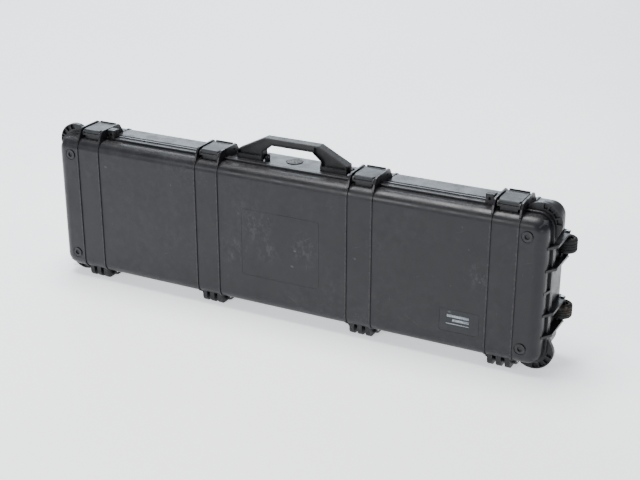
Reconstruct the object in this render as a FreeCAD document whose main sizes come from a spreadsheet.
import FreeCAD, Part
import Sketcher
import math
import os
import re

# Hard-shell rod case standing on its hinge edge. Millimetres, +Z up, ground at z = 0.
# +X runs along the case towards the wheeled end, -Y is the lid's outer face.
# The origin is on the ground, under the middle of the case's bounding box.

DIMENSIONS = (
    ("half_length", 645, "half the shell's length, outside"),
    ("half_height", 175, "half the shell's height, outside"),
    ("shell_depth", 153, "lid face to base back"),
    ("lid_depth", 44.9, "lid face to lid rim"),
    ("rim_gap", 1.6, "gap between the two rims"),
    ("mid_height", 200, "middle of the shell above the ground"),
    ("wall", 3.6, "shell wall"),
    ("outline_radius", 32, "corner radius of the shell's outline"),
    ("face_fillet", 26, "rounding round the lid's face"),
    ("back_fillet", 20, "rounding round the base's back"),
    ("flange_out", 6, "rim flange beyond the wall"),
    ("lid_flange", 6, "lid rim flange thickness"),
    ("base_flange", 12, "base rim flange thickness"),
    ("ear_x", 618, "corner ear centre, along the case"),
    ("ear_z", 152, "corner ear centre, from the middle height"),
    ("ear_radius", 48, "corner ear radius"),
    ("ear_ramp", 34, "run of the slope from flange to ear"),
    ("ear_pocket", 5, "depth of the pockets between the ear's ribs"),
    ("band_inner", 204, "inner band centre"),
    ("band_outer", 550, "outer band centre"),
    ("ridge_offset", 31.5, "ridge centre from band centre"),
    ("ridge_width", 4.4, "ridge and fin thickness"),
    ("ridge_height", 2.2, "ridge proud of the wall"),
    ("pad_half", 55, "half the width of a band's foot pad"),
    ("segment_half", 59.5, "half the width of a shell segment at a band"),
    ("segment_top", 36, "reach of an inner band's top segment, from the band's centre"),
    ("segment_edge", 24, "height of the shell segments along the top and bottom"),
    ("fin_height", 26.5, "fins beside the latches, above the wall"),
    ("latch_height", 24, "latch top above the wall"),
    ("pin_height", 11, "hinge pin above the ground"),
    ("hinge_pin_radius", 3, "hinge pin radius"),
    ("knuckle_radius", 8.8, "hinge knuckle radius"),
    ("relief", 0.5, "clearance round a turning knuckle"),
    ("lug_pitch", 21, "lid hinge lug spacing"),
    ("lug_width", 12, "lid hinge lug width"),
    ("foot_width", 7.8, "base hinge foot width"),
    ("pin_fit", 0.02, "radial gap of a fixed pin"),
    ("running_fit", 0.05, "radial gap of a turning pin"),
    ("seal_radius", 2.2, "seal ring section radius"),
    ("seal_out", 1.6, "seal ring path beyond the wall"),
    ("boss_x", 603, "stacking boss centre, along the case"),
    ("boss_z", 134, "stacking boss centre, from the middle height"),
    ("latch_half", 26.3, "half the latch body's width"),
    ("latch_front", 20.5, "latch front behind the lid's face"),
    ("latch_back", 96, "latch back behind the lid's face"),
    ("latch_side", 3, "latch cheek thickness"),
    ("latch_top", 3.5, "latch top plate thickness"),
    ("latch_clear", 9.5, "latch underside above the wall"),
    ("latch_pin_y", 8, "latch pivot pin, depth position"),
    ("latch_pin_z", 15, "latch pivot pin above the wall"),
    ("latch_pin_radius", 2.2, "latch pivot pin radius"),
    ("lever_half", 25.4, "half the lever's width"),
    ("lever_front_half", 22.9, "half its width between the latch cheeks"),
    ("lever_pin_y", -50, "lever pin, depth position"),
    ("lever_pin_z", 17.3, "lever pin above the wall"),
    ("lever_pin_radius", 1.6, "lever pin radius"),
    ("tab_x", 501, "padlock tab centre"),
    ("tab_half", 10, "half the padlock tab's width"),
    ("padlock_radius", 3.57, "padlock hole radius"),
    ("padlock_z", 16, "padlock hole above the wall"),
    ("handle_half", 146.5, "half the carry handle's length"),
    ("handle_top_half", 72, "half of its flat top"),
    ("handle_gap_half", 78, "half the finger gap at the feet"),
    ("grip_gap_half", 55, "half the finger gap under the grip"),
    ("handle_rise", 64.5, "handle top above the wall"),
    ("handle_foot", 7, "handle underside above the wall"),
    ("handle_front", -20, "handle front face"),
    ("handle_back", 9, "handle back face"),
    ("handle_pin_y", 0, "handle pin, depth position"),
    ("handle_pin_z", 11, "handle pin above the wall"),
    ("handle_pin_radius", 2.5, "handle pin radius"),
    ("handle_web", 9, "depth of the handle's side recesses"),
    ("end_pin_out", 14, "end handle pin beyond the end wall"),
    ("end_pin_y", 12, "end handle pin, depth position"),
    ("end_half", 70.5, "half the end handle's length"),
    ("end_gap_half", 44.5, "half the end handle's finger gap"),
    ("reach", 33, "end handle and wheels beyond the end walls"),
    ("wheel_radius", 24, "wheel radius"),
    ("wheel_out", 9, "wheel axle beyond the end wall"),
    ("wheel_y", 54, "wheel axle, depth position"),
    ("wheel_z", 80, "wheel centres from the middle height"),
    ("wheel_width", 34, "tyre width"),
    ("hub_radius", 17, "hub radius"),
    ("cheek_gap", 47, "clear width between wheel cheeks"),
    ("cheek_width", 6, "wheel cheek thickness"),
    ("cheek_out", 16, "wheel cheek beyond the end wall"),
    ("well_radius", 26.5, "wheel well radius"),
    ("axle_radius", 4, "axle radius"),
    ("valve_x", -15, "purge valve centre, along the case"),
    ("valve_y", 27, "purge valve centre, depth position"),
    ("valve_radius", 19.5, "purge valve flange radius"),
    ("stem_radius", 9, "purge valve stem radius"),
    ("foam_gap", 1, "foam clear of the walls"),
    ("lid_foam", 33, "lid foam thickness"),
    ("pad_thick", 22, "base foam pad thickness"),
    ("insert_drop", 6, "foam insert below the base rim"),
    ("channel_half", 17, "half the width of a rod channel"),
    ("channel_pitch", 98, "rod channel spacing"),
    ("channel_reach", 592, "half the length of a rod channel"),
    ("channel_depth", 48, "rod channel depth"),
    ("reel_x", 360, "reel well centre, along the case"),
    ("reel_half", 60, "half a reel well's length"),
    ("label_x", 457, "label plate centre, along the case"),
    ("label_z", -101, "label plate centre, from the middle height"),
    ("label_half_x", 47, "half the label plate's length"),
    ("label_half_z", 27, "half the label plate's height"),
    ("label_thick", 0.8, "label plate thickness"),
)

doc = FreeCAD.newDocument("RodCase")
sheet = doc.addObject("Spreadsheet::Sheet", "Sizes")
for row, (alias, size, meaning) in enumerate(DIMENSIONS, 1):
    sheet.set(f"A{row}", meaning)
    sheet.set(f"B{row}", str(size))
    sheet.setAlias(f"B{row}", alias)
doc.recompute()
SIZE = {alias: float(size) for alias, size, _ in DIMENSIONS}

# Depth and height positions that many pieces share, as formulas over the sheet.
FRONT = "(-shell_depth / 2)"
BACK = "(shell_depth / 2)"
LID_RIM = "(lid_depth - shell_depth / 2)"
BASE_RIM = "(lid_depth + rim_gap - shell_depth / 2)"
PIN_Y = "(lid_depth + rim_gap / 2 - shell_depth / 2)"
TOP = "(mid_height + half_height)"
BOTTOM = "(mid_height - half_height)"

NEAR = 0.001
TOP_HEIGHT = SIZE["mid_height"] + SIZE["half_height"]

SIDES = (-1, 1)
BANDS = ("(-band_outer)", "(-band_inner)", "band_inner", "band_outer")
RIDGES = tuple(f"({band} + {side} * ridge_offset)" for band in BANDS for side in SIDES)
WHEELS = {"upper": "wheel_z", "lower": "-wheel_z"}
AXES = {
    "x": FreeCAD.Rotation(FreeCAD.Vector(0, 1, 0), 90),
    "y": FreeCAD.Rotation(FreeCAD.Vector(1, 0, 0), -90),
    "z": FreeCAD.Rotation(),
}
SKETCH_PLANES = {
    "x": FreeCAD.Rotation(
        FreeCAD.Vector(0, 1, 0), FreeCAD.Vector(0, 0, 1), FreeCAD.Vector(1, 0, 0), "ZXY"
    ),
    "y": FreeCAD.Rotation(FreeCAD.Vector(1, 0, 0), 90),
    "z": FreeCAD.Rotation(),
}
WORD = re.compile(r"[a-z][a-z_]+")


def linked(formula):
    """The formula with every dimension's name pointing at its cell."""
    return WORD.sub(
        lambda m: "Sizes." + m.group() if m.group() in SIZE else m.group(), str(formula)
    )


def bind(piece, **formulas):
    for name, formula in formulas.items():
        piece.setExpression(name, linked(formula))


def place(piece, x="0", y="0", z="0"):
    for axis, formula in zip("xyz", (x, y, z)):
        piece.setExpression(f".Placement.Base.{axis}", linked(formula))


def box(name, x, y, z):
    """A box between a low and a high formula on each axis."""
    piece = doc.addObject("Part::Box", name)
    spans = [f"({high}) - ({low})" for low, high in (x, y, z)]
    bind(piece, Length=spans[0], Width=spans[1], Height=spans[2])
    place(piece, x[0], y[0], z[0])
    return piece


def rod(name, axis, span, centre, radius):
    """A cylinder along an axis, over a span of it, centred on the two other coordinates."""
    piece = doc.addObject("Part::Cylinder", name)
    bind(piece, Radius=radius, Height=f"({span[1]}) - ({span[0]})")
    piece.Placement.Rotation = AXES[axis]
    position = dict(zip("xyz".replace(axis, ""), centre))
    position[axis] = span[0]
    place(piece, **position)
    return piece


def fuse(name, pieces):
    piece = doc.addObject("Part::MultiFuse", name)
    piece.Shapes = list(pieces)
    return piece


def common(name, pieces):
    piece = doc.addObject("Part::MultiCommon", name)
    piece.Shapes = list(pieces)
    return piece


def cut(name, base, tools):
    """The base less every tool."""
    piece = doc.addObject("Part::Cut", name)
    piece.Base = base
    piece.Tool = tools[0] if len(tools) == 1 else fuse(name + "_tools", tools)
    return piece


def rounded(name, base, radius, chosen):
    """The base with the chosen edges rounded."""
    doc.recompute()
    piece = doc.addObject("Part::Fillet", name)
    piece.Base = base
    edges = enumerate(base.Shape.Edges, 1)
    piece.Edges = [(index, radius, radius) for index, edge in edges if chosen(edge)]
    return piece


def prism(name, axis, span, outline):
    """A polygon of formulas, extruded along an axis over a span of it."""
    sketch = doc.addObject("Sketcher::SketchObject", name + "_outline")
    sketch.Placement.Rotation = SKETCH_PLANES[axis]
    start = span[1] if axis == "y" else span[0]
    place(sketch, **{axis: start})
    corners = [FreeCAD.Vector(index, index * index, 0) for index in range(len(outline))]
    for first, second in zip(corners, corners[1:] + corners[:1]):
        sketch.addGeometry(Part.LineSegment(first, second), False)
    count = len(outline)
    for index in range(count):
        sketch.addConstraint(Sketcher.Constraint("Coincident", index, 2, (index + 1) % count, 1))
    for index, corner in enumerate(outline):
        for kind, formula in zip(("DistanceX", "DistanceY"), corner):
            number = sketch.addConstraint(Sketcher.Constraint(kind, -1, 1, index, 1, 1.0))
            sketch.setExpression(f"Constraints[{number}]", linked(formula))
    piece = doc.addObject("Part::Extrusion", name)
    piece.Base = sketch
    piece.DirMode = "Normal"
    piece.Solid = True
    bind(piece, LengthFwd=f"({span[1]}) - ({span[0]})")
    return piece


def rounded_rectangle(sketch, x, z, corner):
    """Four lines and four tangent arcs in the sketch, between formulas on both axes."""
    wide, high, turn = 100, 80, 10
    ends = (
        ((turn - wide, -high), (wide - turn, -high)),
        ((wide, turn - high), (wide, high - turn)),
        ((wide - turn, high), (turn - wide, high)),
        ((-wide, high - turn), (-wide, turn - high)),
    )
    for first, second in ends:
        sketch.addGeometry(
            Part.LineSegment(FreeCAD.Vector(*first, 0), FreeCAD.Vector(*second, 0)), False
        )
    centres = ((1, -1), (1, 1), (-1, 1), (-1, -1))
    for index, (right, up) in enumerate(centres):
        middle = FreeCAD.Vector(right * (wide - turn), up * (high - turn), 0)
        circle = Part.Circle(middle, FreeCAD.Vector(0, 0, 1), turn)
        start = (index - 1) * math.pi / 2
        sketch.addGeometry(Part.ArcOfCircle(circle, start, start + math.pi / 2), False)
    for index in range(4):
        sketch.addConstraint(Sketcher.Constraint("Tangent", index, 2, 4 + index, 1))
        sketch.addConstraint(Sketcher.Constraint("Tangent", 4 + index, 2, (index + 1) % 4, 1))
    for index in (0, 2):
        sketch.addConstraint(Sketcher.Constraint("Horizontal", index))
        sketch.addConstraint(Sketcher.Constraint("Vertical", index + 1))
    for index in (5, 6, 7):
        sketch.addConstraint(Sketcher.Constraint("Equal", 4, index))
    sizes = (
        (("Radius", 4), turn, corner),
        (("DistanceX", -1, 1, 1, 1), wide, x[1]),
        (("DistanceX", -1, 1, 3, 1), -wide, x[0]),
        (("DistanceY", -1, 1, 2, 1), high, z[1]),
        (("DistanceY", -1, 1, 0, 1), -high, z[0]),
    )
    for what, start, formula in sizes:
        number = sketch.addConstraint(Sketcher.Constraint(*what, float(start)))
        sketch.setExpression(f"Constraints[{number}]", linked(formula))


def body_sketch(body, role, name, offset):
    """A sketch on one of the body's origin planes, moved along the plane's normal."""
    plane = next(p for p in body.Origin.OriginFeatures if p.Role == role)
    sketch = body.newObject("Sketcher::SketchObject", name)
    sketch.AttachmentSupport = [(plane, "")]
    sketch.MapMode = "FlatFace"
    sketch.setExpression(".AttachmentOffset.Base.z", linked(offset))
    return sketch


def block(name, x, y, z, corner, soft_end=None, soft_radius="1"):
    """A rounded rectangle extruded in depth, with the edges of one end (0 low, 1 high)
    or of both ends (2) rounded as well."""
    body = doc.addObject("PartDesign::Body", name)
    sketch = body_sketch(body, "XZ_Plane", name + "_outline", f"-({y[1]})")
    rounded_rectangle(sketch, x, z, corner)
    pad = body.newObject("PartDesign::Pad", name + "_pad")
    pad.Profile = sketch
    bind(pad, Length=f"({y[1]}) - ({y[0]})")
    doc.recompute()
    if soft_end is not None:
        bounds = pad.Shape.BoundBox
        ends = {0: (bounds.YMin,), 1: (bounds.YMax,), 2: (bounds.YMin, bounds.YMax)}[soft_end]
        edges = [
            f"Edge{index}"
            for index, edge in enumerate(pad.Shape.Edges, 1)
            if any(
                abs(edge.BoundBox.YMin - end) < NEAR and abs(edge.BoundBox.YMax - end) < NEAR
                for end in ends
            )
        ]
        fillet = body.newObject("PartDesign::Fillet", name + "_fillet")
        fillet.Base = (pad, edges)
        bind(fillet, Radius=soft_radius)
    return body


def shell_block(name, grow, y, soft_end=None, soft_radius="1"):
    """A block with the shell's outline, grown outwards by a formula."""
    return block(
        name,
        (f"-(half_length + {grow})", f"half_length + {grow}"),
        y,
        (f"mid_height - half_height - ({grow})", f"mid_height + half_height + {grow}"),
        f"outline_radius + {grow}",
        soft_end,
        soft_radius,
    )


def around(centre, half):
    return f"({centre}) - ({half})", f"({centre}) + ({half})"


def ridge_slabs(name):
    """Thin slices of the whole case, one at each band ridge."""
    far = "shell_depth"
    return fuse(
        name,
        [
            box(
                f"{name}_{index}",
                around(ridge, "ridge_width / 2"),
                (f"-{far}", far),
                (f"{BOTTOM} - 20", f"{TOP} + 20"),
            )
            for index, ridge in enumerate(RIDGES)
        ],
    )


def shell_cells():
    """Boxes that part both shells into touching solids: at the bands, and above and below.
    Along the top an inner band's box ends at the outer face of its fin."""
    levels = (f"{BOTTOM} - 40", f"{BOTTOM} + segment_edge", f"{TOP} - segment_edge", f"{TOP} + 80")
    reaches = ("segment_half", "segment_half", "segment_top")
    boxes = []
    for row, reach in enumerate(reaches):
        right = (
            "(band_inner - segment_half)",
            f"(band_inner + {reach})",
            "(band_outer - segment_half)",
            "(band_outer + segment_half)",
            "(half_length + 60)",
        )
        edges = [f"-{edge}" for edge in reversed(right)] + list(right)
        for column, span in enumerate(zip(edges, edges[1:])):
            boxes.append(
                box(
                    f"cell_{column}_{row}",
                    span,
                    ("-shell_depth", "shell_depth"),
                    (levels[row], levels[row + 1]),
                )
            )
    return group("shell_cells", boxes)


# ---------------------------------------------------------------- lid shell
def lid_shell(cells):
    pieces = [
        shell_block("lid_outer", "0", (FRONT, LID_RIM), 0, "face_fillet"),
        shell_block("lid_rim", "flange_out", (f"{LID_RIM} - lid_flange", LID_RIM), 0, "1.6"),
    ]
    proud = shell_block(
        "lid_proud",
        "ridge_height",
        (f"{FRONT} - ridge_height", LID_RIM),
        0,
        "face_fillet + ridge_height",
    )
    pieces.append(common("lid_ridges", [proud, ridge_slabs("lid_slabs")]))
    for index, (side, up) in enumerate((s, u) for s in SIDES for u in SIDES):
        centre = (f"{side} * boss_x", f"mid_height + {up} * boss_z")
        pieces.append(
            rod(f"boss_{index}", "y", (f"{FRONT} - 1.7", f"{FRONT} + 1"), centre, "11.9")
        )
    for index, ridge in enumerate(RIDGES):
        outline = (
            (f"{FRONT} + 6", f"{TOP} - 4"),
            (f"{FRONT} + 13", f"{TOP} + 12"),
            (f"{FRONT} + 21", f"{TOP} + fin_height - 3"),
            (f"{FRONT} + 27", f"{TOP} + fin_height"),
            (LID_RIM, f"{TOP} + fin_height"),
            (LID_RIM, f"{TOP} - 2"),
        )
        pieces.append(prism(f"lid_fin_{index}", "x", around(ridge, "ridge_width / 2"), outline))
    for index, band in enumerate(BANDS):
        keeper = ("latch_half - 6", (f"{FRONT} + 25", f"{LID_RIM} - lid_flange + 1"))
        height = (f"{TOP} - 1", f"{TOP} + latch_clear - 1")
        pieces.append(box(f"keeper_{index}", around(band, keeper[0]), keeper[1], height))
        tooth = (
            (f"{LID_RIM} - 22", f"{BOTTOM} + 2"),
            (f"{LID_RIM} - 20", f"{BOTTOM} - 8"),
            (f"{LID_RIM} - 14", f"{BOTTOM} - 13"),
            (f"{LID_RIM} - 2", f"{BOTTOM} - 13"),
            (f"{LID_RIM} - 2", f"{BOTTOM} + 2"),
        )
        span = around(f"{band} - ridge_offset", "ridge_width / 2 + 1")
        pieces.append(prism(f"small_tooth_{index}", "x", span, tooth))
    for side in SIDES:
        pieces.append(
            box(
                f"lid_tab_{side + 1}",
                around(f"{side} * tab_x", "tab_half"),
                (f"{LID_RIM} - lid_flange", LID_RIM),
                (f"{TOP} - 1", f"{TOP} + fin_height"),
            )
        )
        for level in (-2, -1, 0, 1, 2):
            spread = {0: "0", 1: "wheel_z - cheek_gap / 2 - cheek_width / 2"}
            spread[2] = "wheel_z + cheek_gap / 2 + cheek_width / 2"
            out = "cheek_out" if side > 0 and level else "flange_out"
            sign = 1 if level > 0 else -1
            height = around(f"mid_height + {sign} * ({spread[abs(level)]})", "cheek_width / 2")
            outline = (
                (f"{side} * (half_length - 1)", f"{FRONT} + 16"),
                (f"{side} * (half_length + {out})", f"{LID_RIM} - 3"),
                (f"{side} * (half_length + {out})", LID_RIM),
                (f"{side} * (half_length - 1)", LID_RIM),
            )
            pieces.append(prism(f"gusset_{side + 1}_{level + 2}", "z", height, outline))
    solid = fuse("lid_solid", pieces)

    hollow = [
        shell_block(
            "lid_hollow",
            "(-wall)",
            (f"{FRONT} + wall", f"{LID_RIM} + 5"),
            0,
            "face_fillet - wall",
        ),
        cut(
            "panel_line",
            block(
                "panel_outer",
                ("-106", "104"),
                (f"{FRONT} - 5", f"{FRONT} + 0.4"),
                ("mid_height - 95", "mid_height + 77"),
                "9",
            ),
            [
                block(
                    "panel_inner",
                    ("-104.4", "102.4"),
                    (f"{FRONT} - 6", f"{FRONT} + 2"),
                    ("mid_height - 93.4", "mid_height + 75.4"),
                    "7.4",
                )
            ],
        ),
        block(
            "label_seat",
            around("label_x", "label_half_x + 0.6"),
            (f"{FRONT} - 5", f"{FRONT} + label_thick"),
            around("mid_height + label_z", "label_half_z + 0.6"),
            "4.6",
        ),
    ]
    for index, (side, up) in enumerate((s, u) for s in SIDES for u in SIDES):
        centre = (f"{side} * boss_x", f"mid_height + {up} * boss_z")
        ring = rod(f"boss_ring_{index}", "y", (f"{FRONT} - 5", f"{FRONT} + 1.5"), centre, "14.5")
        core = rod(f"boss_core_{index}", "y", (f"{FRONT} - 6", f"{FRONT} + 3"), centre, "12")
        hollow.append(cut(f"boss_groove_{index}", ring, [core]))
        hollow.append(
            rod(f"boss_dish_{index}", "y", (f"{FRONT} - 5", f"{FRONT} + 1.6"), centre, "6")
        )
    for side in SIDES:
        hollow.append(
            rod(
                f"lid_tab_hole_{side + 1}",
                "y",
                (f"{LID_RIM} - 20", f"{LID_RIM} + 1"),
                (f"{side} * tab_x", f"{TOP} + padlock_z"),
                "padlock_radius",
            )
        )
    hollow += knuckle_reliefs("lid", ("-1.5", "-0.5", "0.5", "1.5"))
    shell = cut("lid_hollowed", solid, hollow)

    lugs = []
    outline = (
        (f"{FRONT} + 14", f"{BOTTOM} + 4"),
        (f"{FRONT} + 15", "12"),
        (f"{FRONT} + 17.5", "6"),
        (f"{FRONT} + 22", "1.5"),
        (f"{FRONT} + 28", "0"),
        (PIN_Y, "0"),
        (f"{PIN_Y} + 0.7 * knuckle_radius", "pin_height - 0.7 * knuckle_radius"),
        (PIN_Y, "pin_height"),
        (LID_RIM, f"{BOTTOM} - flange_out + 1"),
        (LID_RIM, f"{BOTTOM} + 3"),
    )
    for index, band in enumerate(BANDS):
        for step in (-1, 0, 1):
            width = around(f"{band} + {step} * lug_pitch", "lug_width / 2")
            name = f"lid_lug_{index}_{step + 1}"
            lugs.append(prism(name, "x", width, outline))
            lugs.append(
                rod(name + "_knuckle", "x", width, (PIN_Y, "pin_height"), "knuckle_radius")
            )
    whole = fuse("lid_with_lugs", [shell] + lugs)
    moulding = cut("lid_moulding", whole, hinge_bores("lid", "running_fit"))
    return common("lid_shell", [moulding, cells])


def knuckle_reliefs(owner, steps):
    """Room for the other half's knuckles, at steps of the lug pitch from each band."""
    return [
        rod(
            f"{owner}_relief_{index}_{number}",
            "x",
            around(f"{band} + ({step}) * lug_pitch", "lug_width / 2 + 0.4"),
            (PIN_Y, "pin_height"),
            "knuckle_radius + relief",
        )
        for index, band in enumerate(BANDS)
        for number, step in enumerate(steps)
    ]


def hinge_bores(owner, fit):
    return [
        rod(
            f"{owner}_hinge_bore_{index}",
            "x",
            around(band, "ridge_offset + 10"),
            (PIN_Y, "pin_height"),
            f"hinge_pin_radius + {fit}",
        )
        for index, band in enumerate(BANDS)
    ]


# ---------------------------------------------------------------- base shell
def base_ears():
    """Rounded ears at the rim's corners, with a ramp down to the flange on both sides."""
    depth = (BASE_RIM, f"{BASE_RIM} + base_flange")
    ears = []
    for index, (side, up) in enumerate((s, u) for s in SIDES for u in SIDES):
        centre = (f"{side} * ear_x", f"mid_height + {up} * ear_z")
        disc = rod(f"ear_disc_{index}", "y", depth, centre, "ear_radius")
        along = sorted_span(side, "ear_x", "ear_x + 60")
        upward = sorted_span(up, "ear_z", "ear_z + 60", "mid_height")
        quarter = common(f"ear_{index}", [disc, box(f"ear_box_{index}", along, depth, upward)])
        top_ramp = (
            (f"{side} * (ear_x + 8)", f"mid_height + {up} * (ear_z + ear_radius - 0.7)"),
            (f"{side} * ear_x", f"mid_height + {up} * (ear_z + ear_radius)"),
            (f"{side} * (ear_x - 12)", f"mid_height + {up} * (ear_z + ear_radius - 1.5)"),
            (f"{side} * (ear_x - 24)", f"mid_height + {up} * (ear_z + ear_radius - 7)"),
            (f"{side} * (ear_x - ear_ramp)", f"mid_height + {up} * (half_height + flange_out + 4)"),
            (f"{side} * (ear_x - ear_ramp)", f"mid_height + {up} * half_height"),
            (f"{side} * (ear_x + 8)", f"mid_height + {up} * half_height"),
        )
        end_ramp = (
            (f"{side} * (ear_x + ear_radius)", f"mid_height + {up} * (ear_z + 1)"),
            (f"{side} * (ear_x + ear_radius)", f"mid_height + {up} * ear_z"),
            (f"{side} * (ear_x + ear_radius - 2)", f"mid_height + {up} * (ear_z - 9)"),
            (f"{side} * (half_length + flange_out)", f"mid_height + {up} * (ear_z - ear_ramp)"),
            (f"{side} * half_length", f"mid_height + {up} * (ear_z - ear_ramp)"),
            (f"{side} * half_length", f"mid_height + {up} * (ear_z + 1)"),
        )
        ears.append(quarter)
        ears.append(prism(f"ear_top_ramp_{index}", "y", depth, top_ramp))
        ears.append(prism(f"ear_end_ramp_{index}", "y", depth, end_ramp))
    return ears


def sorted_span(side, near, far, origin="0"):
    """The span from near to far on the given side of the origin, low end first."""
    if side > 0:
        return f"{origin} + {near}", f"{origin} + {far}"
    return f"{origin} - ({far})", f"{origin} - ({near})"


def ear_pockets():
    """Shallow pockets in each ear's front, between ribs that point at the corner."""
    depth = (f"{BASE_RIM} - 2", f"{BASE_RIM} + ear_pocket")
    pockets = []
    for index, (side, up) in enumerate((s, u) for s in SIDES for u in SIDES):
        centre = (f"{side} * ear_x", f"mid_height + {up} * ear_z")
        outer = rod(f"pocket_outer_{index}", "y", depth, centre, "ear_radius - 3")
        inner = rod(f"pocket_inner_{index}", "y", depth, centre, "ear_radius - 14")
        ribs = []
        for number, turn in enumerate((22, 45, 68)):
            rib = box(
                f"pocket_rib_{index}_{number}", ("0", "60"), depth, ("-1.5", "1.5")
            )
            angle = -turn if side * up > 0 else turn
            flip = 0 if side > 0 else 180
            rib.Placement.Rotation = FreeCAD.Rotation(FreeCAD.Vector(0, 1, 0), angle + flip)
            place(rib, centre[0], depth[0], centre[1])
            ribs.append(rib)
        ring = cut(f"pocket_ring_{index}", outer, [inner] + ribs)
        along = sorted_span(side, "ear_x + 2", "ear_x + 60")
        upward = sorted_span(up, "ear_z + 2", "ear_z + 60", "mid_height")
        corner = box(f"pocket_corner_{index}", along, depth, upward)
        pockets.append(common(f"pocket_{index}", [ring, corner]))
    return pockets


def wheel_mounts():
    """Cheeks on the right end wall, one each side of each wheel."""
    cheeks = []
    outline = (
        ("half_length - 1", BASE_RIM),
        ("half_length + cheek_out", BASE_RIM),
        ("half_length + cheek_out", "wheel_y - 6"),
        ("half_length + cheek_out - 2", "wheel_y + 4"),
        ("half_length + cheek_out - 7", "wheel_y + 11"),
        ("half_length - 4", "wheel_y + 15"),
    )
    for name, centre in WHEELS.items():
        for side in SIDES:
            middle = f"mid_height + {centre} + {side} * (cheek_gap + cheek_width) / 2"
            height = around(middle, "cheek_width / 2")
            cheeks.append(prism(f"cheek_{name}_{side + 1}", "z", height, outline))
    return cheeks


def handle_lugs():
    """Lugs that hold the carry handle's pins, and the pads under its feet."""
    lugs = []
    for side in SIDES:
        for name, near, far in (
            ("outer", "handle_half + 0.7", "handle_half + 7"),
            ("inner", "handle_gap_half - 7", "handle_gap_half - 0.7"),
        ):
            width = sorted_span(side, near, far)
            label = f"handle_lug_{name}_{side + 1}"
            lugs.append(box(label, width, ("-8", "8"), (f"{TOP} - 1", f"{TOP} + handle_pin_z")))
            lugs.append(
                rod(label + "_eye", "x", width, ("handle_pin_y", f"{TOP} + handle_pin_z"), "8")
            )
        lugs.append(
            box(
                f"handle_pad_{side + 1}",
                sorted_span(side, "handle_gap_half + 1", "handle_half - 3"),
                (f"{BASE_RIM} + base_flange - 1", "-10.6"),
                (f"{TOP} - 1", f"{TOP} + handle_foot - 0.5"),
            )
        )
        for name, near, far in (
            ("outer", "end_half + 0.7", "end_half + 7"),
            ("inner", "end_gap_half - 7", "end_gap_half - 0.7"),
        ):
            height = sorted_span(side, near, far, "mid_height")
            label = f"end_lug_{name}_{side + 1}"
            centre = ("-(half_length + end_pin_out)", "end_pin_y")
            lugs.append(
                box(
                    label,
                    ("-(half_length + end_pin_out)", "1 - half_length"),
                    ("end_pin_y - 9", "end_pin_y + 9"),
                    height,
                )
            )
            lugs.append(rod(label + "_eye", "z", height, centre, "9"))
    return lugs


def base_fins_and_feet():
    pieces = []
    fin = (
        (BASE_RIM, f"{TOP} - 2"),
        (BASE_RIM, f"{TOP} + fin_height"),
        ("latch_pin_y + 8", f"{TOP} + fin_height"),
        ("latch_pin_y + 14", f"{TOP} + fin_height - 4"),
        ("latch_pin_y + 26", f"{TOP} + 3"),
        ("latch_pin_y + 34", f"{TOP} - 2"),
    )
    for index, ridge in enumerate(RIDGES):
        pieces.append(prism(f"base_fin_{index}", "x", around(ridge, "ridge_width / 2"), fin))
    for side in SIDES:
        pieces.append(
            box(
                f"base_tab_{side + 1}",
                around(f"{side} * tab_x", "tab_half"),
                (BASE_RIM, f"{BASE_RIM} + base_flange"),
                (f"{TOP} - 1", f"{TOP} + fin_height"),
            )
        )
        between = sorted_span(side, "band_inner + ridge_offset", "band_outer - ridge_offset")
        bead = (f"{BASE_RIM} + 7", f"{BASE_RIM} + base_flange")
        pieces.append(
            box(f"rim_bead_{side + 1}", between, bead, (TOP, f"{TOP} + flange_out + 2"))
        )
        pieces.append(
            box(f"top_strip_{side + 1}", between, ("6", "48"), (f"{TOP} - 1", f"{TOP} + 1.2"))
        )
    pad = (
        ("-14", f"{BOTTOM} + 3"),
        ("-14", "6"),
        ("-10", "2.5"),
        (f"{BACK} - 24", "2.5"),
        (f"{BACK} - 18", f"{BOTTOM} + 3"),
    )
    for index, band in enumerate(BANDS):
        pieces.append(prism(f"foot_pad_{index}", "x", around(band, "pad_half"), pad))
    return pieces


def base_feet():
    """Ribs under each band: the front of each is a hinge knuckle, the rest is a foot."""
    foot = (
        (PIN_Y, "pin_height - knuckle_radius"),
        (f"{BASE_RIM} + 4", "0"),
        (f"{BACK} - 14", "0"),
        (f"{BACK} - 5", f"{BOTTOM} - 12"),
        (f"{BACK} - 4", f"{BOTTOM} + 10"),
        (f"{BACK} - 16", f"{BOTTOM} + 2"),
        (BASE_RIM, f"{BOTTOM} + 2"),
        (BASE_RIM, "pin_height"),
    )
    feet = []
    for index, band in enumerate(BANDS):
        for number, step in enumerate(("-1.5", "-0.5", "0.5", "1.5")):
            half = "foot_width / 2" if number in (1, 2) else "ridge_width / 2"
            width = around(f"{band} + ({step}) * lug_pitch", half)
            name = f"foot_{index}_{number}"
            feet.append(prism(name, "x", width, foot))
            feet.append(
                rod(name + "_knuckle", "x", width, (PIN_Y, "pin_height"), "knuckle_radius")
            )
    return feet


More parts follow.
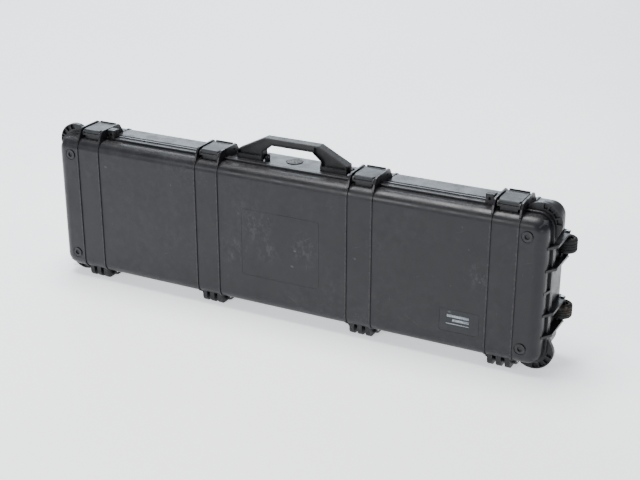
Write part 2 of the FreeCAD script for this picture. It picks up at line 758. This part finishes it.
def base_shell(cells):
    depth = (BASE_RIM, BACK)
    rim_depth = (BASE_RIM, f"{BASE_RIM} + base_flange")
    proud = shell_block(
        "base_proud",
        "ridge_height",
        (BASE_RIM, f"{BACK} + ridge_height"),
        1,
        "back_fillet + ridge_height",
    )
    pieces = [
        shell_block("base_outer", "0", depth, 1, "back_fillet"),
        shell_block("base_rim", "flange_out", rim_depth, 1, "2.4"),
        common("base_ridges", [proud, ridge_slabs("base_slabs")]),
    ]
    pieces += base_ears() + wheel_mounts() + handle_lugs() + base_fins_and_feet()
    solid = fuse("base_solid", pieces)

    hollow = [
        shell_block(
            "base_hollow",
            "(-wall)",
            (f"{BASE_RIM} - 5", f"{BACK} - wall"),
            1,
            "back_fillet - wall",
        ),
        rod(
            "valve_hole",
            "z",
            (f"{TOP} - 20", f"{TOP} + 5"),
            ("valve_x", "valve_y"),
            "stem_radius + pin_fit",
        ),
        cut(
            "valve_outline",
            rod(
                "outline_outer",
                "z",
                (f"{TOP} - 1.6", f"{TOP} + 1"),
                ("valve_x", "valve_y"),
                "valve_radius + 2",
            ),
            [
                rod(
                    "outline_inner",
                    "z",
                    (f"{TOP} - 3", f"{TOP} + 2"),
                    ("valve_x", "valve_y"),
                    "valve_radius",
                )
            ],
        ),
    ]
    hollow += ear_pockets() + knuckle_reliefs("base", ("-1", "0", "1"))
    for index, band in enumerate(BANDS):
        hollow.append(
            rod(
                f"latch_pin_bore_{index}",
                "x",
                around(band, "ridge_offset + 6"),
                ("latch_pin_y", f"{TOP} + latch_pin_z"),
                "latch_pin_radius + pin_fit",
            )
        )
    for side in SIDES:
        hollow.append(
            rod(
                f"base_tab_hole_{side + 1}",
                "y",
                (f"{BASE_RIM} - 1", f"{BASE_RIM} + 20"),
                (f"{side} * tab_x", f"{TOP} + padlock_z"),
                "padlock_radius",
            )
        )
        hollow.append(
            rod(
                f"handle_bore_{side + 1}",
                "x",
                sorted_span(side, "handle_gap_half - 12", "handle_half + 12"),
                ("handle_pin_y", f"{TOP} + handle_pin_z"),
                "handle_pin_radius + pin_fit",
            )
        )
        hollow.append(
            rod(
                f"end_bore_{side + 1}",
                "z",
                sorted_span(side, "end_gap_half - 12", "end_half + 12", "mid_height"),
                ("-(half_length + end_pin_out)", "end_pin_y"),
                "handle_pin_radius + pin_fit",
            )
        )
    shell = cut("base_hollowed", solid, hollow)

    inside = [
        box(
            f"well_block_{name}",
            ("half_length + wheel_out - well_radius - 5", "half_length - 1"),
            ("wheel_y - well_radius - wall", f"{BACK} - 1"),
            around(f"mid_height + {centre}", "cheek_gap / 2 + cheek_width / 2"),
        )
        for name, centre in WHEELS.items()
    ]
    whole = fuse("base_with_feet", [shell] + inside + base_feet())
    wells = [
        rod(
            f"well_{name}",
            "z",
            around(f"mid_height + {centre}", "cheek_gap / 2"),
            ("half_length + wheel_out", "wheel_y"),
            "well_radius",
        )
        for name, centre in WHEELS.items()
    ]
    bores = [
        rod(
            f"axle_bore_{name}",
            "z",
            around(f"mid_height + {centre}", "cheek_gap"),
            ("half_length + wheel_out", "wheel_y"),
            "axle_radius + pin_fit",
        )
        for name, centre in WHEELS.items()
    ]
    groove_depth = (f"{BASE_RIM} - 2", f"{BASE_RIM} + 2 * seal_radius - 0.8")
    groove = cut(
        "seal_groove",
        shell_block("groove_outer", "(seal_out + seal_radius + 0.3)", groove_depth),
        [
            shell_block(
                "groove_inner",
                "(seal_out - seal_radius - 0.3)",
                (f"{BASE_RIM} - 3", f"{BASE_RIM} + 2 * seal_radius"),
            )
        ],
    )
    bores += hinge_bores("base", "pin_fit")
    moulding = cut("base_moulding", whole, wells + bores + [groove])
    return common("base_shell", [moulding, cells])


def mirrored_boxes(name, x, y, z):
    """A box on each side of the middle, between near and far formulas along x."""
    return [
        box(f"{name}_{side + 1}", sorted_span(side, *x), y, z)
        for side in SIDES
    ]


def group(name, pieces):
    """Separate solids kept together as one piece."""
    piece = doc.addObject("Part::Compound", name)
    piece.Links = pieces
    return piece


def seal():
    """A round cord along a rounded rectangle, in the base rim's groove."""
    path = doc.addObject("Sketcher::SketchObject", "seal_path")
    path.Placement.Rotation = SKETCH_PLANES["y"]
    place(path, y=f"{BASE_RIM} + 1.4")
    reach = "seal_out"
    rounded_rectangle(
        path,
        (f"-(half_length + {reach})", f"half_length + {reach}"),
        (f"mid_height - half_height - {reach}", f"mid_height + half_height + {reach}"),
        f"outline_radius + {reach}",
    )
    doc.recompute()
    section = doc.addObject("Part::Circle", "seal_section")
    bind(section, Radius="seal_radius")
    section.Placement.Rotation = AXES["x"]
    place(section, "0", f"{BASE_RIM} + 1.4", f"mid_height - half_height - {reach}")
    ring = doc.addObject("Part::Sweep", "seal_ring")
    ring.Sections = [section]
    ring.Spine = (path, [f"Edge{index}" for index in range(1, 9)])
    ring.Solid = True
    ring.Frenet = False
    return ring


# ---------------------------------------------------------------- latches
def latch_body(number, band):
    """Two cheeks joined by a front bar, a top plate and a back wall."""
    front = f"{FRONT} + latch_front"
    back = f"{FRONT} + latch_back"
    low = f"{TOP} + latch_clear"
    high = f"{TOP} + latch_height - latch_top"
    cheek = (
        (front, low),
        (front, f"{high} - 5"),
        (f"{front} + 1.5", f"{high} - 1.5"),
        (f"{front} + 5", high),
        (f"{back} - 3", high),
        (back, f"{high} - 3"),
        (back, f"{low} + 3"),
        (f"{back} - 3", low),
    )
    name = f"latch_body_{number}"
    pieces = []
    for side in SIDES:
        width = sorted_span(side, "latch_half - latch_side", "latch_half", band)
        pieces.append(prism(f"{name}_cheek_{side + 1}", "x", width, cheek))
    inner = around(band, "latch_half - latch_side + 0.5")
    bars = (
        ("bar", (front, f"{front} + 4"), (low, f"{low} + 4.5")),
        ("plate", (f"{front} + 12", f"{back} - 1"), (f"{high} - latch_top", high)),
        ("wall", (f"{back} - latch_side", back), (f"{low} + 2", f"{TOP} + latch_height + 2.2")),
    )
    for label, depth, height in bars:
        pieces.append(box(f"{name}_{label}", inner, depth, height))
    bores = [
        rod(
            name + "_pivot_bore",
            "x",
            around(band, "latch_half + 1"),
            ("latch_pin_y", f"{TOP} + latch_pin_z"),
            "latch_pin_radius + running_fit",
        ),
        rod(
            name + "_lever_bore",
            "x",
            around(band, "latch_half - 0.6"),
            ("lever_pin_y", f"{TOP} + lever_pin_z"),
            "lever_pin_radius + pin_fit",
        ),
    ]
    cut(name, fuse(name + "_frame", pieces), bores)


def latch_lever(number, band):
    """A broad panel on top, with a front lip that turns between the latch cheeks."""
    name = f"latch_lever_{number}"
    high = f"{TOP} + latch_height"
    low = f"{high} - latch_top + 0.3"
    back = f"{FRONT} + latch_back - latch_side - 1"
    centre = ("lever_pin_y", f"{TOP} + lever_pin_z")
    lip = (
        ("lever_pin_y - 3.4", f"{TOP} + lever_pin_z - 1.8"),
        ("lever_pin_y - 3.4", f"{high} - 2"),
        ("lever_pin_y - 1.4", high),
        ("lever_pin_y + 8", high),
        ("lever_pin_y + 8", low),
        ("lever_pin_y + 5", low),
        ("lever_pin_y + 3.2", f"{TOP} + lever_pin_z"),
    )
    tail = (
        ("lever_pin_y + 6", low),
        ("lever_pin_y + 6", f"{high} - 1"),
        ("lever_pin_y + 7", high),
        (f"{back} - 2", high),
        (back, f"{high} - 1"),
        (back, low),
    )
    grip = box(
        name + "_grip",
        around(band, "lever_half - 5"),
        (f"{back} - 9", f"{back} - 6.5"),
        (f"{high} - 0.9", f"{high} + 1"),
    )
    solids = [
        prism(name + "_lip", "x", around(band, "lever_front_half"), lip),
        prism(name + "_panel", "x", around(band, "lever_half"), tail),
        rod(name + "_barrel", "x", around(band, "lever_front_half"), centre, "3.4"),
    ]
    bore = rod(
        name + "_bore",
        "x",
        around(band, "lever_half + 1"),
        centre,
        "lever_pin_radius + running_fit",
    )
    cut(name, fuse(name + "_blank", solids), [bore, grip])
    rod(
        f"latch_lever_pin_{number}",
        "x",
        around(band, "latch_half - 0.8"),
        centre,
        "lever_pin_radius",
    )


# ---------------------------------------------------------------- handles
def carry_handle():
    def height(above):
        return f"{TOP} + {above}"

    depth = ("handle_front", "handle_back")
    half = (
        ("handle_gap_half", "handle_foot"),
        ("handle_half", "handle_foot"),
        ("handle_half", "handle_foot + 20"),
        ("handle_top_half", "handle_rise"),
    )
    gap = (("grip_gap_half", "handle_rise - 17.5"), ("handle_gap_half", "handle_foot + 21"))
    right = half + tuple((f"-({x})", z) for x, z in reversed(half))
    loop = right + tuple((f"-({x})", z) for x, z in reversed(gap)) + gap
    outline = [(x, height(z)) for x, z in loop]
    blank = prism("handle_blank", "y", depth, outline)

    def soft(edge):
        bounds = edge.BoundBox
        flat = bounds.YLength < NEAR
        return flat and bounds.ZMax > TOP_HEIGHT + SIZE["handle_foot"] + NEAR

    shaped = rounded("handle_rounded", blank, 3.4, soft)
    recesses = []
    for side in SIDES:
        web = (
            (f"{side} * (handle_gap_half + 3.4)", height("handle_foot + 10")),
            (f"{side} * (handle_half - 3.4)", height("handle_foot + 10")),
            (f"{side} * (handle_half - 3.4)", height("handle_foot + 17.8")),
            (f"{side} * (handle_top_half - 0.5)", height("handle_rise - 4")),
            (f"{side} * (handle_top_half - 12)", height("handle_rise - 4")),
            (f"{side} * (handle_top_half - 12)", height("handle_rise - 18.5")),
            (f"{side} * (handle_gap_half + 3.4)", height("handle_foot + 22.6")),
        )
        spans = (
            ("handle_front - 1", "handle_front + handle_web"),
            ("handle_back - handle_web", "handle_back + 1"),
        )
        for face, span in enumerate(spans):
            recesses.append(prism(f"handle_web_{side + 1}_{face}", "y", span, web))
        groove = ("handle_front - 1", "handle_front + 2.5")
        if side > 0:
            groove = ("handle_back - 2.5", "handle_back + 1")
        recesses.append(
            box(
                f"grip_groove_{side + 1}",
                ("10 - handle_top_half", "handle_top_half - 10"),
                groove,
                (height("handle_rise - 13.5"), height("handle_rise - 4.5")),
            )
        )
        recesses.append(
            rod(
                f"handle_foot_bore_{side + 1}",
                "x",
                sorted_span(side, "handle_gap_half - 2", "handle_half + 2"),
                ("handle_pin_y", height("handle_pin_z")),
                "handle_pin_radius + running_fit",
            )
        )
    cut("carry_handle", shaped, recesses)
    group(
        "carry_handle_pins",
        [
            rod(
                f"carry_pin_{side + 1}",
                "x",
                sorted_span(side, "handle_gap_half - 7.6", "handle_half + 7.6"),
                ("handle_pin_y", height("handle_pin_z")),
                "handle_pin_radius",
            )
            for side in SIDES
        ],
    )


def end_handle():
    x = ("-(half_length + reach)", "-(half_length + 5)")
    outline = (
        ("4", "mid_height - end_half"),
        ("62", "mid_height - end_half"),
        ("62", "mid_height + end_half"),
        ("4", "mid_height + end_half"),
        ("4", "mid_height + end_gap_half"),
        ("44", "mid_height + end_gap_half"),
        ("44", "mid_height - end_gap_half"),
        ("4", "mid_height - end_gap_half"),
    )
    blank = prism("end_handle_blank", "x", x, outline)
    shaped = rounded("end_handle_rounded", blank, 3.0, lambda edge: edge.BoundBox.YMax > 20)
    centre = ("-(half_length + end_pin_out)", "end_pin_y")
    bores = [
        rod(
            f"end_handle_bore_{side + 1}",
            "z",
            sorted_span(side, "end_gap_half - 2", "end_half + 2", "mid_height"),
            centre,
            "handle_pin_radius + running_fit",
        )
        for side in SIDES
    ]
    cut("end_handle", shaped, bores)
    group(
        "end_handle_pins",
        [
            rod(
                f"end_pin_{side + 1}",
                "z",
                sorted_span(side, "end_gap_half - 7.6", "end_half + 7.6", "mid_height"),
                centre,
                "handle_pin_radius",
            )
            for side in SIDES
        ],
    )


# ---------------------------------------------------------------- wheels
def wheels():
    centre = ("half_length + wheel_out", "wheel_y")
    axles = []
    clips = []
    for name, offset in WHEELS.items():
        middle = f"mid_height + {offset}"
        tread = rod(f"tread_{name}", "z", around(middle, "wheel_width / 2"), centre, "wheel_radius")
        soft = rounded(f"tread_{name}_rounded", tread, 6.5, lambda edge: edge.Closed)
        hollows = [
            rod(f"tyre_seat_{name}", "z", around(middle, "wheel_width"), centre, "hub_radius")
        ]
        for step in (-1, 0, 1):
            height = around(f"{middle} + {step} * 6", "1")
            outer = rod(f"groove_outer_{name}_{step + 1}", "z", height, centre, "wheel_radius + 1")
            inner = rod(f"groove_inner_{name}_{step + 1}", "z", height, centre, "wheel_radius - 1.5")
            hollows.append(cut(f"tread_groove_{name}_{step + 1}", outer, [inner]))
        cut(f"wheel_tyre_{name}", soft, hollows)
        disc = rod(f"hub_disc_{name}", "z", around(middle, "wheel_width / 2 - 2"), centre,
                   "hub_radius")
        boss = rod(f"hub_boss_{name}", "z", around(middle, "wheel_width / 2 + 5"), centre, "7.5")
        dishes = []
        for side in SIDES:
            span = sorted_span(side, "wheel_width / 2 - 8", "wheel_width / 2 + 1", middle)
            outer = rod(f"dish_outer_{name}_{side + 1}", "z", span, centre, "hub_radius - 2.5")
            inner = rod(f"dish_inner_{name}_{side + 1}", "z", span, centre, "7.5")
            dishes.append(cut(f"dish_{name}_{side + 1}", outer, [inner]))
        bore = rod(
            f"hub_bore_{name}",
            "z",
            around(middle, "wheel_width"),
            centre,
            "axle_radius + running_fit",
        )
        cut(f"wheel_hub_{name}", fuse(f"hub_blank_{name}", [disc, boss]), dishes + [bore])
        axles.append(
            rod(f"axle_{name}", "z", around(middle, "cheek_gap / 2 + 9"), centre, "axle_radius")
        )
        for side in SIDES:
            span = sorted_span(side, "cheek_gap / 2 + 6.2", "cheek_gap / 2 + 7.6", middle)
            disc = rod(f"clip_disc_{name}_{side + 1}", "z", span, centre, "axle_radius + 3")
            hole = rod(
                f"clip_hole_{name}_{side + 1}", "z", span, centre, "axle_radius + pin_fit"
            )
            clips.append(cut(f"clip_{name}_{side + 1}", disc, [hole]))
    group("wheel_axles", axles)
    group("axle_clips", clips)


# ---------------------------------------------------------------- foam
def foams():
    gap = "(-(wall + foam_gap))"
    shell_block(
        "lid_foam",
        gap,
        (f"{FRONT} + wall", f"{FRONT} + wall + lid_foam"),
        0,
        "face_fillet - wall - foam_gap",
    )
    pad_front = f"{BACK} - wall - pad_thick"
    pad = shell_block(
        "pad_blank",
        gap,
        (pad_front, f"{BACK} - wall"),
        1,
        "back_fillet - wall - foam_gap",
    )
    corners = [
        box(
            f"foam_corner_{name}",
            ("half_length + wheel_out - well_radius - 7", "half_length + 5"),
            ("wheel_y - well_radius - wall - 2", f"{BACK} + 5"),
            around(f"mid_height + {centre}", "cheek_gap / 2 + cheek_width / 2 + 2"),
        )
        for name, centre in WHEELS.items()
    ]
    cut("base_foam_pad", pad, corners)
    front = f"{BASE_RIM} + insert_drop"
    insert = shell_block("insert_blank", gap, (front, pad_front))
    hollows = [
        box(
            f"channel_{index}",
            ("-channel_reach", "channel_reach"),
            (f"{front} - 1", f"{front} + channel_depth"),
            around(f"mid_height + {index - 1} * channel_pitch", "channel_half"),
        )
        for index in range(3)
    ]
    hollows += mirrored_boxes(
        "reel_well",
        ("reel_x - reel_half", "reel_x + reel_half"),
        (f"{front} - 1", f"{pad_front} - 5"),
        around("mid_height", "channel_pitch + 27"),
    )
    hollows.append(
        box(
            "valve_notch",
            around("valve_x", "17"),
            around("valve_y", "17"),
            (f"{TOP} - 18", TOP),
        )
    )
    cut("base_foam_insert", insert, hollows + corners)


# ---------------------------------------------------------------- purge valve and label
def valve():
    centre = ("valve_x", "valve_y")

    def disc(name, low, high, radius):
        return rod(name, "z", (f"{TOP} + ({low})", f"{TOP} + ({high})"), centre, radius)

    flange = disc("valve_flange", "0", "1.4", "valve_radius")
    stem = disc("valve_stem", "-13", "1", "stem_radius")
    seats = [
        disc("cap_seat", "0.6", "2", "13.6"),
        disc("membrane_seat", "-0.4", "1", "7.6"),
        disc("stem_bore", "-14", "1", "5"),
    ]
    cut("valve_body", fuse("valve_blank", [flange, stem]), seats)
    cap = disc("cap_disc", "0.6", "1.4", "13")
    vents = []
    for index in range(6):
        vent = rod(
            f"vent_{index}",
            "z",
            (f"{TOP}", f"{TOP} + 2"),
            (
                f"valve_x + 9 * cos({60 * index})",
                f"valve_y + 9 * sin({60 * index})",
            ),
            "1.6",
        )
        vents.append(vent)
    cut("valve_cap", cap, vents)
    disc("valve_membrane", "-0.4", "0.4", "7.4")
    for name, low, high in (("valve_seal", "-1 - wall", "-wall"), ("valve_nut", "-7 - wall", "-1 - wall")):
        ring = disc(name + "_ring", low, high, "13.5")
        hole = disc(name + "_hole", f"{low} - 1", f"{high} + 1", "stem_radius + pin_fit")
        cut(name, ring, [hole])


def label():
    block(
        "label_plate",
        around("label_x", "label_half_x"),
        (FRONT, f"{FRONT} + label_thick"),
        around("mid_height + label_z", "label_half_z"),
        "4",
    )


def small_metal():
    """Hinge and latch pins, and the steel plates on the lid's padlock tabs."""
    group(
        "hinge_pins",
        [
            rod(
                f"hinge_pin_{index}",
                "x",
                around(band, "ridge_offset + 4.5"),
                (PIN_Y, "pin_height"),
                "hinge_pin_radius",
            )
            for index, band in enumerate(BANDS)
        ],
    )
    group(
        "latch_pivot_pins",
        [
            rod(
                f"pivot_pin_{index}",
                "x",
                around(band, "ridge_offset + 3.5"),
                ("latch_pin_y", f"{TOP} + latch_pin_z"),
                "latch_pin_radius",
            )
            for index, band in enumerate(BANDS)
        ],
    )
    plates = []
    for side in SIDES:
        centre = f"{side} * tab_x"
        face = (f"{LID_RIM} - lid_flange - 1.2", f"{LID_RIM} - lid_flange")
        plate = box(
            f"plate_{side + 1}",
            around(centre, "tab_half - 1"),
            face,
            (f"{TOP} + 1", f"{TOP} + fin_height - 1"),
        )
        hole = rod(
            f"plate_hole_{side + 1}",
            "y",
            (f"{LID_RIM} - lid_flange - 3", f"{LID_RIM} - 1"),
            (centre, f"{TOP} + padlock_z"),
            "padlock_radius",
        )
        plates.append(cut(f"padlock_plate_{side + 1}", plate, [hole]))
    group("padlock_plates", plates)


cells = shell_cells()
lid_shell(cells)
base_shell(cells)
seal()
for latch, latch_band in enumerate(BANDS, 1):
    latch_body(latch, latch_band)
    latch_lever(latch, latch_band)
carry_handle()
end_handle()
wheels()
foams()
valve()
label()
small_metal()
doc.recompute()

NODES = (
    ["lid_shell", "base_shell", "seal_ring", "hinge_pins", "latch_pivot_pins", "padlock_plates"]
    + [f"latch_{kind}_{index}" for index in range(1, 5) for kind in ("body", "lever", "lever_pin")]
    + ["carry_handle", "carry_handle_pins", "end_handle", "end_handle_pins"]
    + [f"wheel_{kind}_{name}" for name in WHEELS for kind in ("tyre", "hub")]
    + ["wheel_axles", "axle_clips", "lid_foam", "base_foam_pad", "base_foam_insert"]
    + ["valve_body", "valve_cap", "valve_membrane", "valve_seal", "valve_nut", "label_plate"]
)
for item in doc.Objects:
    if "Invalid" in item.State or "Error" in item.State:
        raise RuntimeError(f"{item.Label}: {item.State}")
os.makedirs("parts", exist_ok=True)
for node in NODES:
    piece = doc.getObject(node)
    if piece.Shape.isNull() or not piece.Shape.isValid():
        raise RuntimeError(f"{node} has no valid shape")
    piece.Shape.exportStep(f"parts/{node}.step")
